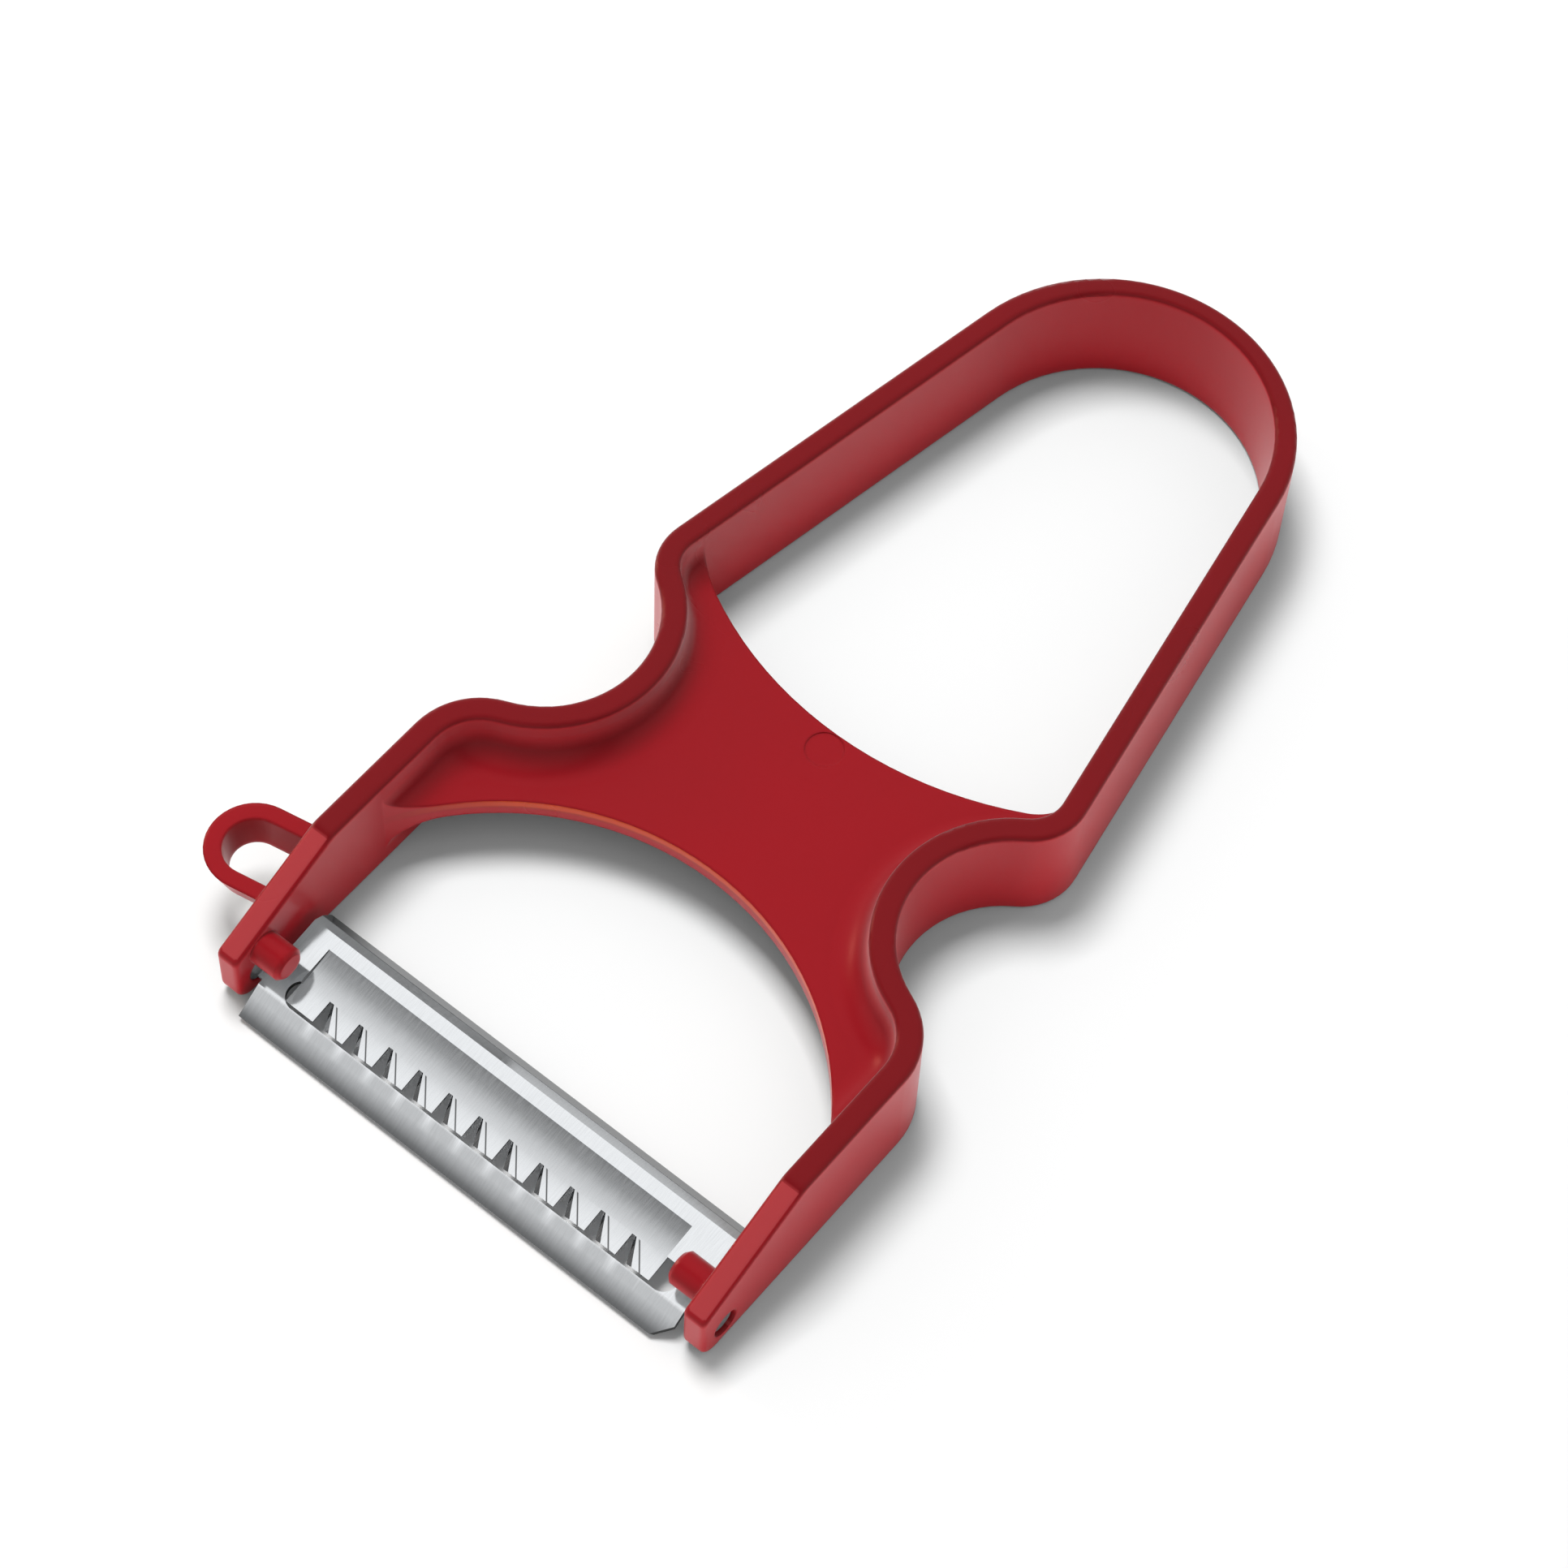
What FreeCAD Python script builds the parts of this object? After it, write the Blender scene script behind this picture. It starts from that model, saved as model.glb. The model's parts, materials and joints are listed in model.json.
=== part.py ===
"""Serrated Y-shaped vegetable peeler: a moulded loop frame that carries a swivelling blade on two pins.

Design axes: X across the arms, Y from the blade towards the loop, Z up from the face that lies on the
table.  The design datum is the blade's pivot axis in plan, and the underside of the frame in height.
The finished parts are then moved together, so that the origin is the middle of the footprint.
"""
import FreeCAD, Part
import math
import os
import Sketcher

# name, value, meaning; lengths in millimetres and angles in degrees
DIMENSIONS = (
    ("arm_span", 58.0, "outer width across the two arms"),
    ("frame_depth", 12.8, "height of the frame, table to rim"),
    ("wall", 2.5, "thickness of the frame's ribbon wall"),
    ("tip_reach", 3.05, "arm tip ahead of the pivot axis"),
    ("hip_radius", 7.8, "outer corner where an arm turns in to the neck"),
    ("neck_width", 34.4, "narrowest outer width of the frame"),
    ("neck_radius", 10.9, "hollow of the neck, outside"),
    ("neck_from_pivot", 42.05, "narrowest place, behind the pivot axis"),
    ("shoulder_radius", 6.05, "outer corner between neck and loop"),
    ("side_taper", 9.8, "angle of each loop side to the long axis"),
    ("end_radius", 18.0, "outer radius of the loop's far end"),
    ("end_from_pivot", 93.6, "centre of the far end, behind the pivot axis"),
    ("end_thinning", 0.55, "how much thinner the wall is at the far end"),
    ("web_thickness", 2.2, "thickness of the web across the neck"),
    ("web_height", 5.3, "underside of the web above the table"),
    ("web_fillet", 3.4, "fillet between web and wall, both faces"),
    ("mouth_margin", 3.9, "radius of the web's blade-side edge, more than half the arms' inner width"),
    ("mouth_from_pivot", 32.6, "middle of that edge, behind the pivot axis"),
    ("loop_edge_radius", 39.6, "edge of the web that faces the loop"),
    ("loop_edge_from_pivot", 51.45, "middle of that edge, behind the pivot axis"),
    ("gate_radius", 1.9, "round moulding mark on the web"),
    ("gate_depth", 0.12, "depth of the moulding mark"),
    ("slope_from_pivot", 10.65, "start of the arm's sloping top, behind the pivot axis"),
    ("tip_height", 7.0, "height of the arm at its tip"),
    ("toe_radius", 1.8, "lower front corner of an arm tip"),
    ("brow_radius", 0.9, "upper front corner of an arm tip"),
    ("bend_radius", 3.0, "rounding where an arm's top starts to slope"),
    ("rim_radius", 0.5, "rounding along every rim of the ribbon"),
    ("pivot_height", 2.75, "pivot axis above the table"),
    ("bore_radius", 1.5, "pivot bore in each arm"),
    ("peg_radius", 1.75, "stop peg on the inside of each arm"),
    ("peg_length", 3.4, "stop peg's length from the arm"),
    ("peg_above_pivot", 3.25, "stop peg's axis above the pivot axis"),
    ("peg_behind_pivot", 0.5, "stop peg's axis behind the pivot axis"),
    ("peg_chamfer", 0.4, "chamfer on the stop peg's end"),
    ("eye_top", 9.2, "rim of the eye loop above the table"),
    ("eye_height", 3.5, "height of the eye loop"),
    ("eye_radius", 4.67, "outer radius of the eye loop at its rim"),
    ("eye_foot_radius", 3.5, "outer radius of the eye loop at its foot"),
    ("eye_hole_radius", 3.0, "opening of the eye loop at its rim"),
    ("eye_hole_foot_radius", 2.5, "opening of the eye loop at its foot"),
    ("eye_reach", 3.85, "centre of the eye loop, outside the arm"),
    ("eye_from_pivot", 6.5, "centre of the eye loop, behind the pivot axis"),
    ("eye_turn", 10.7, "how far the eye loop points forward"),
    ("blade_gap", 1.0, "gap between each end of the blade and the arm beside it"),
    ("blade_sheet", 0.6, "thickness of the blade's sheet steel"),
    ("blade_tilt", 9.9, "tilt of the blade at rest, front edge down"),
    ("deck_front", 1.44, "front fold of the deck, ahead of the pivot axis"),
    ("deck_rear", 6.47, "rear fold of the deck, behind the pivot axis"),
    ("flange_length", 3.6, "front flange, fold to edge"),
    ("flange_angle", 25.5, "front flange below the deck"),
    ("corner_run", 1.6, "cut corner of the flange, along its edge"),
    ("corner_rise", 1.9, "cut corner of the flange, up its end"),
    ("facet_length", 1.2, "first fold of the rear flange"),
    ("facet_angle", 40.0, "that fold below the deck"),
    ("skirt_length", 1.8, "second fold of the rear flange"),
    ("skirt_angle", 62.0, "that fold below the deck"),
    ("slot_front", 1.5, "front edge of the peel slot, ahead of the pivot axis"),
    ("slot_rear", 1.5, "rear edge of the slot's ends, behind the pivot axis"),
    ("slot_left", 23.0, "left end of the slot from the middle"),
    ("slot_right", 23.5, "right end of the slot from the middle"),
    ("tongue_left", 22.5, "left end of the toothed tongue from the middle"),
    ("tongue_right", 21.05, "right end of the toothed tongue from the middle"),
    ("tongue_front", 1.14, "tooth tips, ahead of the pivot axis"),
    ("grind_rear", 5.05, "rear edge of the ground face, behind the pivot axis"),
    ("grind_step", 0.12, "depth of the ground face at its rear edge"),
    ("grind_depth", 0.36, "depth of the ground face at the tooth tips"),
    ("grind_radius", 60.0, "hollow of the ground face"),
    ("notch_count", 11, "number of notches between the teeth"),
    ("notch_pitch", 3.63, "spacing of the notches"),
    ("notch_first", 19.17, "first notch, left of the middle"),
    ("notch_depth", 2.45, "notch, from the tooth tips back"),
    ("notch_head", 0.85, "width of the notch's inner end, on top"),
    ("notch_mouth", 2.85, "width of the notch at the tooth tips, on top"),
    ("notch_head_below", 0.25, "width of the notch's inner end, underneath"),
    ("notch_mouth_below", 1.3, "width of the notch at the tooth tips, underneath"),
    ("tab_width", 1.8, "flat tab at each end of the blade"),
    ("tab_depth", 1.6, "how far a tab is pressed into its pin"),
    ("running_clearance", 0.05, "radial clearance of a pin in its bore"),
    ("pin_inset", 0.1, "inner end of a pin, inside the arm's inner face"),
    ("pin_recess", 0.4, "outer end of a pin, inside the arm's outer face"),
    ("pin_chamfer", 0.2, "chamfer on a pin's outer end"),
)

doc = FreeCAD.newDocument("peeler")
sheet = doc.addObject("Spreadsheet::Sheet", "sheet")
for row, (alias, value, meaning) in enumerate(DIMENSIONS, start=1):
    sheet.set(f"A{row}", meaning)
    sheet.set(f"B{row}", str(value))
    sheet.setAlias(f"B{row}", alias)
ORIGIN_ROW = len(DIMENSIONS) + 1
for row, alias in enumerate(("origin_x", "origin_y"), start=ORIGIN_ROW):
    sheet.set(f"A{row}", "design datum to the middle of the footprint")
    sheet.set(f"B{row}", "0")
    sheet.setAlias(f"B{row}", alias)
doc.recompute()

# Often-used expressions
HALF_SPAN = "sheet.arm_span / 2"
INNER_FACE = "(sheet.arm_span / 2 - sheet.wall)"
WEB_TOP = "(sheet.web_height + sheet.web_thickness)"
BEYOND_TIP = "(sheet.tip_reach + sheet.wall)"
MOUTH_RADIUS = f"({INNER_FACE} + sheet.mouth_margin)"
BLADE_END = f"({INNER_FACE} - sheet.blade_gap)"
DECK_TOP = "(sheet.blade_sheet / 2)"
DECK_FOOT = "-(sheet.blade_sheet / 2)"
PIN_START = f"({INNER_FACE} + sheet.pin_inset)"
TIP, EXIT = 1, 2
CENTRE = 3


def size(expression):
    """Value of an expression of the sheet's dimensions."""
    result = sheet.evalExpression(expression.replace("sheet.", ""))
    return float(getattr(result, "Value", result))


class Profile:
    """A sketch on one of a body's own planes, whose constraints are bound to the sheet."""

    def __init__(self, body, role, name, lift=None):
        self.sketch = body.newObject("Sketcher::SketchObject", name)
        plane = next(item for item in body.Origin.OriginFeatures if item.Role == role)
        self.sketch.AttachmentSupport = [(plane, "")]
        self.sketch.MapMode = "FlatFace"
        if lift:
            self.sketch.setExpression("AttachmentOffset.Base.z", lift)

    def line(self, start, end):
        start, end = FreeCAD.Vector(*start), FreeCAD.Vector(*end)
        return self.sketch.addGeometry(Part.LineSegment(start, end), False)

    def arc(self, centre, radius, first, last):
        circle = Part.Circle(FreeCAD.Vector(*centre), FreeCAD.Vector(0, 0, 1), radius)
        return self.sketch.addGeometry(Part.ArcOfCircle(circle, first, last), False)

    def circle(self, x, y, radius):
        shape = Part.Circle(FreeCAD.Vector(size(x), size(y), 0), FreeCAD.Vector(0, 0, 1), size(radius))
        item = self.sketch.addGeometry(shape, False)
        self.radius(item, radius)
        self.place(item, CENTRE, x, y)
        return item

    def relate(self, *terms):
        return self.sketch.addConstraint(Sketcher.Constraint(*terms))

    def bind(self, expression, *terms):
        self.sketch.setExpression(f"Constraints[{self.relate(*terms)}]", expression)

    def place(self, item, point, x=None, y=None):
        """Fix a point by its signed distances from the sketch's origin."""
        for kind, expression in (("DistanceX", x), ("DistanceY", y)):
            if expression is None:
                continue
            value = size(expression)
            if abs(value) < 1e-9:
                self.relate("PointOnObject", item, point, -2 if kind == "DistanceX" else -1)
            elif value > 0:
                self.bind(expression, kind, -1, 1, item, point, value)
            else:
                self.bind(f"-({expression})", kind, item, point, -1, 1, -value)

    def radius(self, item, expression):
        self.bind(expression, "Radius", item, size(expression))

    def polygon(self, corners):
        """Draw a closed polygon of placed corners, each an (x, y) pair of expressions."""
        points = [(size(x), size(y), 0) for x, y in corners]
        items = [self.line(points[i], points[(i + 1) % len(points)]) for i in range(len(points))]
        for index, (x, y) in enumerate(corners):
            self.relate("Coincident", items[index - 1], EXIT, items[index], TIP)
            self.place(items[index], TIP, x, y)
        return items

    def check(self):
        doc.recompute()
        if self.sketch.solve() != 0 or self.sketch.ConflictingConstraints or self.sketch.RedundantConstraints:
            raise RuntimeError(f"{self.sketch.Name} is over-constrained or can't be solved")
        return self.sketch


def pad(body, name, sketch, length, symmetric=False, reverse=False):
    feature = body.newObject("PartDesign::Pad", name)
    feature.Profile = sketch
    feature.setExpression("Length", length)
    feature.SideType = "Symmetric" if symmetric else "One side"
    feature.Reversed = reverse
    doc.recompute()
    return feature


def pocket(body, name, sketch, length, symmetric=False, reverse=False):
    """Cut a profile into a body, and make sure that it takes material away."""
    before = body.Shape.Volume
    feature = body.newObject("PartDesign::Pocket", name)
    feature.Profile = sketch
    feature.setExpression("Length", length)
    feature.SideType = "Symmetric" if symmetric else "One side"
    feature.Reversed = reverse
    doc.recompute()
    if body.Shape.Volume > before - 1e-3:
        raise RuntimeError(f"{name} cuts nothing")
    return feature


def loft(body, kind, name, first, last):
    feature = body.newObject(f"PartDesign::{kind}", name)
    feature.Profile = first
    feature.Sections = [last]
    feature.Ruled = True
    doc.recompute()
    return feature


def mirror(body, name, originals):
    plane = next(item for item in body.Origin.OriginFeatures if item.Role == "YZ_Plane")
    feature = body.newObject("PartDesign::Mirrored", name)
    feature.Originals = originals
    feature.MirrorPlane = (plane, [""])
    body.Tip = feature
    doc.recompute()
    return feature


def fillet(body, name, radius, wanted):
    """Round the edges of the body's present shape for which wanted(edge) is true."""
    base = body.Tip
    edges = [f"Edge{i}" for i, edge in enumerate(base.Shape.Edges, start=1) if wanted(edge)]
    if not edges:
        raise RuntimeError(f"{name} finds no edges")
    feature = body.newObject("PartDesign::Fillet", name)
    feature.Base = (base, edges)
    feature.setExpression("Radius", radius)
    doc.recompute()
    return feature


def spot(edge):
    """Middle point of an edge."""
    return edge.valueAt((edge.FirstParameter + edge.LastParameter) / 2)


def turn(profile, side, hub, radius, first, last):
    """Arc of a mirrored pair: side is 1 on the right and -1 on the left."""
    if side > 0:
        return profile.arc((hub[0], hub[1], 0), radius, first, last)
    return profile.arc((-hub[0], hub[1], 0), radius, math.pi - last, math.pi - first)


def loop_end(profile, inset, thinning):
    """Draw the loop's tapering sides and round far end; return the arc and its two side lines.

    The sides start at the height of the shoulders, where the caller ties them to what comes before.
    """
    taper = math.radians(size("sheet.side_taper"))
    radius = size(f"sheet.end_radius - {inset}")
    hub_y = size(f"sheet.end_from_pivot + {thinning}")
    along = (math.sin(taper), -math.cos(taper))
    start = (radius * math.cos(taper), hub_y + radius * math.sin(taper))
    run = (start[1] - size("sheet.neck_from_pivot + sheet.neck_radius")) / math.cos(taper)
    foot = (start[0] + along[0] * run, start[1] + along[1] * run)
    arc = profile.arc((0, hub_y, 0), radius, taper, math.pi - taper)
    profile.radius(arc, f"sheet.end_radius - {inset}")
    profile.place(arc, CENTRE, "0 * sheet.wall", f"sheet.end_from_pivot + {thinning}")
    right = profile.line((foot[0], foot[1], 0), (start[0], start[1], 0))
    left = profile.line((-start[0], start[1], 0), (-foot[0], foot[1], 0))
    profile.relate("Tangent", right, EXIT, arc, TIP)
    profile.relate("Tangent", arc, EXIT, left, TIP)
    profile.bind("90deg + sheet.side_taper * 1deg", "Angle", right, math.pi / 2 + taper)
    profile.bind("-90deg - sheet.side_taper * 1deg", "Angle", left, -math.pi / 2 - taper)
    return arc, right, left


def handle_outline(profile, inset, thinning, front):
    """Draw the frame's outline moved in by inset, from the arm tips round the loop and back.

    Every joint between lines and arcs is tangent, and the neck's hollows keep their centres.
    """
    half = size(f"{HALF_SPAN} - {inset}")
    hip = size(f"sheet.hip_radius - {inset}")
    neck = size(f"sheet.neck_radius + {inset}")
    shoulder = size(f"sheet.shoulder_radius - {inset}")
    neck_hub = (size("sheet.neck_width / 2 + sheet.neck_radius"), size("sheet.neck_from_pivot"))
    front_y = size(front)
    hip_x = half - hip
    hip_y = neck_hub[1] - math.sqrt((hip + neck) ** 2 - (neck_hub[0] - hip_x) ** 2)
    hip_last = math.atan2(neck_hub[1] - hip_y, neck_hub[0] - hip_x)

    taper = math.radians(size("sheet.side_taper"))
    normal = (math.cos(taper), math.sin(taper))
    along = (-math.sin(taper), math.cos(taper))
    offset = size(f"sheet.end_from_pivot + {thinning}") * normal[1]
    offset += size(f"sheet.end_radius - {inset}") - shoulder
    gap = (normal[0] * offset - neck_hub[0], normal[1] * offset - neck_hub[1])
    slide = gap[0] * along[0] + gap[1] * along[1]
    slack = gap[0] ** 2 + gap[1] ** 2 - (shoulder + neck) ** 2
    slide = -slide + math.sqrt(slide ** 2 - slack)
    hub = (normal[0] * offset + along[0] * slide, normal[1] * offset + along[1] * slide)
    shoulder_first = math.atan2(hub[1] - neck_hub[1], hub[0] - neck_hub[0])

    arc, right, left = loop_end(profile, inset, thinning)
    arms = []
    for side, run in ((1, right), (-1, left)):
        near, far = (TIP, EXIT) if side > 0 else (EXIT, TIP)
        ends = ((side * half, front_y, 0), (side * half, hip_y, 0))
        arm = profile.line(*(ends if side > 0 else ends[::-1]))
        hip_arc = turn(profile, side, (hip_x, hip_y), hip, 0, hip_last)
        neck_arc = turn(profile, side, neck_hub, neck, shoulder_first, hip_last + math.pi)
        shoulder_arc = turn(profile, side, hub, shoulder, shoulder_first - math.pi, taper)
        profile.relate("Vertical", arm)
        profile.relate("Tangent", arm, far, hip_arc, near)
        profile.relate("Tangent", hip_arc, far, neck_arc, far)
        profile.relate("Tangent", neck_arc, near, shoulder_arc, near)
        profile.relate("Tangent", shoulder_arc, far, run, near)
        profile.radius(hip_arc, f"sheet.hip_radius - {inset}")
        profile.radius(neck_arc, f"sheet.neck_radius + {inset}")
        profile.radius(shoulder_arc, f"sheet.shoulder_radius - {inset}")
        sign = "" if side > 0 else "-"
        profile.place(neck_arc, CENTRE, f"{sign}(sheet.neck_width / 2 + sheet.neck_radius)",
                      "sheet.neck_from_pivot")
        profile.place(arm, near, f"{sign}({HALF_SPAN} - {inset})", front)
        arms.append(arm)
    across = profile.line((-half, front_y, 0), (half, front_y, 0))
    profile.relate("Coincident", arms[1], EXIT, across, TIP)
    profile.relate("Coincident", across, EXIT, arms[0], TIP)
    return profile.check()


def eye_profile(body, name, radius, lift, root_x):
    """D-shaped section of the eye loop: a round end and straight sides that run back to root_x."""
    profile = Profile(body, "XY_Plane", name, lift)
    turned = math.radians(size("sheet.eye_turn"))
    hub = (f"-({HALF_SPAN} + sheet.eye_reach)", "sheet.eye_from_pivot")
    x, y, r = size(hub[0]), size(hub[1]), size(radius)
    root = size(root_x)
    arc = profile.arc((x, y, 0), r, turned + math.pi / 2, turned + 3 * math.pi / 2)
    profile.radius(arc, radius)
    profile.place(arc, CENTRE, *hub)
    sides = []
    for side in (1, -1):
        start = (x - side * r * math.sin(turned), y + side * r * math.cos(turned), 0)
        end = (root, start[1] + (root - start[0]) * math.tan(turned), 0)
        points = (end, start) if side > 0 else (start, end)
        sides.append(profile.line(*points))
    profile.relate("Tangent", sides[0], EXIT, arc, TIP)
    profile.relate("Tangent", arc, EXIT, sides[1], TIP)
    profile.bind("sheet.eye_turn * 1deg", "Angle", sides[1], turned)
    profile.relate("Parallel", sides[0], sides[1])
    ends = profile.sketch.Geometry[sides[1]].EndPoint, profile.sketch.Geometry[sides[0]].StartPoint
    closing = profile.line((root, ends[0].y, 0), (root, ends[1].y, 0))
    profile.relate("Coincident", sides[1], EXIT, closing, TIP)
    profile.relate("Coincident", closing, EXIT, sides[0], TIP)
    profile.relate("Vertical", closing)
    profile.place(closing, TIP, root_x)
    return profile.check()


def make_frame():
    """One moulding: arms, neck with web, loop handle, stop pegs and eye loop."""
    body = doc.addObject("PartDesign::Body", "frame")

    outline = Profile(body, "XY_Plane", "outline")
    handle_outline(outline, "0 * sheet.wall", "0 * sheet.wall", "-sheet.tip_reach")
    pad(body, "plate", outline.sketch, "sheet.frame_depth")

    upper = Profile(body, "XY_Plane", "upper_hollow_outline", "sheet.frame_depth")
    handle_outline(upper, "sheet.wall", "sheet.end_thinning", f"-{BEYOND_TIP}")
    pocket(body, "upper_hollow", upper.sketch, f"sheet.frame_depth - {WEB_TOP}")
    floor = size(WEB_TOP)
    fillet(body, "upper_hollow_fillet", "sheet.web_fillet", lambda edge: on_floor(edge, floor))

    lower = Profile(body, "XY_Plane", "lower_hollow_outline")
    handle_outline(lower, "sheet.wall", "sheet.end_thinning", f"-{BEYOND_TIP}")
    pocket(body, "lower_hollow", lower.sketch, "sheet.web_height", reverse=True)
    ceiling = size("sheet.web_height")
    fillet(body, "lower_hollow_fillet", "sheet.web_fillet", lambda edge: on_floor(edge, ceiling))

    cut_mouth(body)
    cut_loop(body)
    cut_slope(body)
    shape_tips(body)
    round_rims(body)
    add_eye(body)
    add_pegs(body)

    bores = Profile(body, "YZ_Plane", "bore_outline")
    bores.circle("0 * sheet.wall", "sheet.pivot_height", "sheet.bore_radius")
    pocket(body, "pivot_bores", bores.check(), "2 * sheet.arm_span", symmetric=True)

    gate = Profile(body, "XY_Plane", "gate_outline", WEB_TOP)
    gate_y = "sheet.loop_edge_from_pivot - sheet.gate_radius - sheet.gate_depth"
    gate.circle("0 * sheet.wall", gate_y, "sheet.gate_radius")
    pocket(body, "gate_mark", gate.check(), "sheet.gate_depth")
    return body


def on_floor(edge, height):
    """True for the edges where the floor of a hollow meets the ribbon wall."""
    box = edge.BoundBox
    level = abs(box.ZMin - height) < 1e-4 and abs(box.ZMax - height) < 1e-4
    return level and spot(edge).y > -size("sheet.tip_reach") + 0.01


def cut_mouth(body):
    """Open the space between the arms, up to the web's blade-side edge."""
    mouth = Profile(body, "XY_Plane", "mouth_outline")
    hub_y = f"sheet.mouth_from_pivot - {MOUTH_RADIUS}"
    radius = size(MOUTH_RADIUS)
    inner, front = size(INNER_FACE), size(f"-{BEYOND_TIP}")
    meet = size(hub_y) + math.sqrt(radius ** 2 - inner ** 2)
    spread = math.acos(inner / radius)
    arc = mouth.arc((0, size(hub_y), 0), radius, spread, math.pi - spread)
    mouth.radius(arc, MOUTH_RADIUS)
    mouth.place(arc, CENTRE, "0 * sheet.wall", hub_y)
    right = mouth.line((inner, front, 0), (inner, meet, 0))
    left = mouth.line((-inner, meet, 0), (-inner, front, 0))
    across = mouth.line((-inner, front, 0), (inner, front, 0))
    for item, following in ((across, right), (right, arc), (arc, left), (left, across)):
        mouth.relate("Coincident", item, EXIT, following, TIP)
    mouth.relate("Vertical", right)
    mouth.relate("Vertical", left)
    mouth.place(across, TIP, f"-{INNER_FACE}", f"-{BEYOND_TIP}")
    mouth.place(across, EXIT, INNER_FACE, f"-{BEYOND_TIP}")
    pocket(body, "mouth", mouth.check(), "sheet.frame_depth", reverse=True)


def cut_loop(body):
    """Open the finger loop, up to the web's loop-side edge."""
    opening = Profile(body, "XY_Plane", "loop_outline")
    hub_y = "sheet.loop_edge_from_pivot + sheet.loop_edge_radius"
    end, right, left = loop_end(opening, "sheet.wall", "sheet.end_thinning")
    foot = opening.sketch.Geometry[right].StartPoint
    tip = (foot.x, foot.y - size(hub_y))
    first = math.atan2(tip[1], -tip[0]) % (2 * math.pi)
    last = math.atan2(tip[1], tip[0]) % (2 * math.pi)
    arc = opening.arc((0, size(hub_y), 0), size("sheet.loop_edge_radius"), first, last)
    opening.radius(arc, "sheet.loop_edge_radius")
    opening.place(arc, CENTRE, "0 * sheet.wall", hub_y)
    opening.relate("Coincident", arc, EXIT, right, TIP)
    opening.relate("Coincident", left, EXIT, arc, TIP)
    pocket(body, "finger_loop", opening.check(), "sheet.frame_depth", reverse=True)


def cut_slope(body):
    """Slope the top of both arms down to their tips."""
    slope = Profile(body, "YZ_Plane", "slope_outline")
    run = "(sheet.slope_from_pivot + sheet.tip_reach)"
    drop = f"(sheet.frame_depth - sheet.tip_height) / {run} * sheet.wall"
    slope.polygon((
        ("sheet.slope_from_pivot", "sheet.frame_depth"),
        ("sheet.slope_from_pivot", "sheet.frame_depth + sheet.wall"),
        (f"-{BEYOND_TIP}", "sheet.frame_depth + sheet.wall"),
        (f"-{BEYOND_TIP}", f"sheet.tip_height - {drop}"),
    ))
    pocket(body, "arm_slope", slope.check(), "sheet.arm_span", symmetric=True)


def shape_tips(body):
    """Round the arms' tips, seen from the side, and the start of their slopes."""
    tip_y, depth, wall = -size("sheet.tip_reach"), size("sheet.frame_depth"), size("sheet.wall")
    bend_y = size("sheet.slope_from_pivot")

    def across(edge):
        return abs(edge.BoundBox.XLength - wall) < 1e-3 and edge.BoundBox.YLength < 1e-6

    def at(edge, y, low, high):
        middle = spot(edge)
        return across(edge) and abs(middle.y - y) < 1e-3 and low < middle.z < high

    fillet(body, "tip_toes", "sheet.toe_radius", lambda edge: at(edge, tip_y, -1, 1))
    fillet(body, "tip_brows", "sheet.brow_radius", lambda edge: at(edge, tip_y, 1, depth))
    fillet(body, "slope_bends", "sheet.bend_radius", lambda edge: at(edge, bend_y, 1, depth + 1))


def round_rims(body):
    """Round the ribbon's two closed rims, each running over the arms' tips and round the loop."""
    depth, faces = size("sheet.frame_depth"), (size(HALF_SPAN), size(INNER_FACE))
    bend_y = size("sheet.slope_from_pivot")

    def rim(edge):
        box, middle = edge.BoundBox, spot(edge)
        level = box.ZLength < 1e-6 and min(abs(middle.z), abs(middle.z - depth)) < 1e-4
        on_face = box.XLength < 1e-6 and min(abs(abs(middle.x) - face) for face in faces) < 1e-4
        runs_back = max(box.YLength, box.XLength) > size("sheet.wall") + 0.1
        return (level and runs_back) or (on_face and middle.y < bend_y + 1)

    fillet(body, "rims", "sheet.rim_radius", rim)


def add_eye(body):
    """Small tapering loop on the outside of the left arm, for taking out eyes."""
    foot_z = "sheet.eye_top - sheet.eye_height"
    root = f"-({HALF_SPAN} - sheet.wall / 2)"
    top = eye_profile(body, "eye_rim", "sheet.eye_radius", "sheet.eye_top", root)
    foot = eye_profile(body, "eye_foot", "sheet.eye_foot_radius", foot_z, root)
    loft(body, "AdditiveLoft", "eye_wall", top, foot)
    face = f"-({HALF_SPAN})"
    top = eye_profile(body, "eye_hole_rim", "sheet.eye_hole_radius", "sheet.eye_top", face)
    foot = eye_profile(body, "eye_hole_foot", "sheet.eye_hole_foot_radius", foot_z, face)
    loft(body, "SubtractiveLoft", "eye_hole", top, foot)


def add_pegs(body):
    """Two pegs that stand in from the arms over the blade and stop its swing."""
    peg_y = "sheet.peg_behind_pivot"
    peg_z = "sheet.pivot_height + sheet.peg_above_pivot"
    start = f"{INNER_FACE} - sheet.peg_length"
    section = Profile(body, "YZ_Plane", "peg_outline", start)
    section.circle(peg_y, peg_z, "sheet.peg_radius")
    peg = pad(body, "peg", section.check(), "sheet.peg_length + sheet.wall / 2")
    mirror(body, "peg_pair", [peg])
    ends = size(start)
    rim = size("sheet.peg_radius")

    def at_end(edge):
        box = edge.BoundBox
        return box.XLength < 1e-6 and abs(abs(box.XMin) - ends) < 1e-3 and box.YLength > rim

    base = body.Tip
    edges = [f"Edge{i}" for i, edge in enumerate(base.Shape.Edges, start=1) if at_end(edge)]
    chamfer = body.newObject("PartDesign::Chamfer", "peg_chamfers")
    chamfer.Base = (base, edges)
    chamfer.setExpression("Size", "sheet.peg_chamfer")
    doc.recompute()


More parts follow.
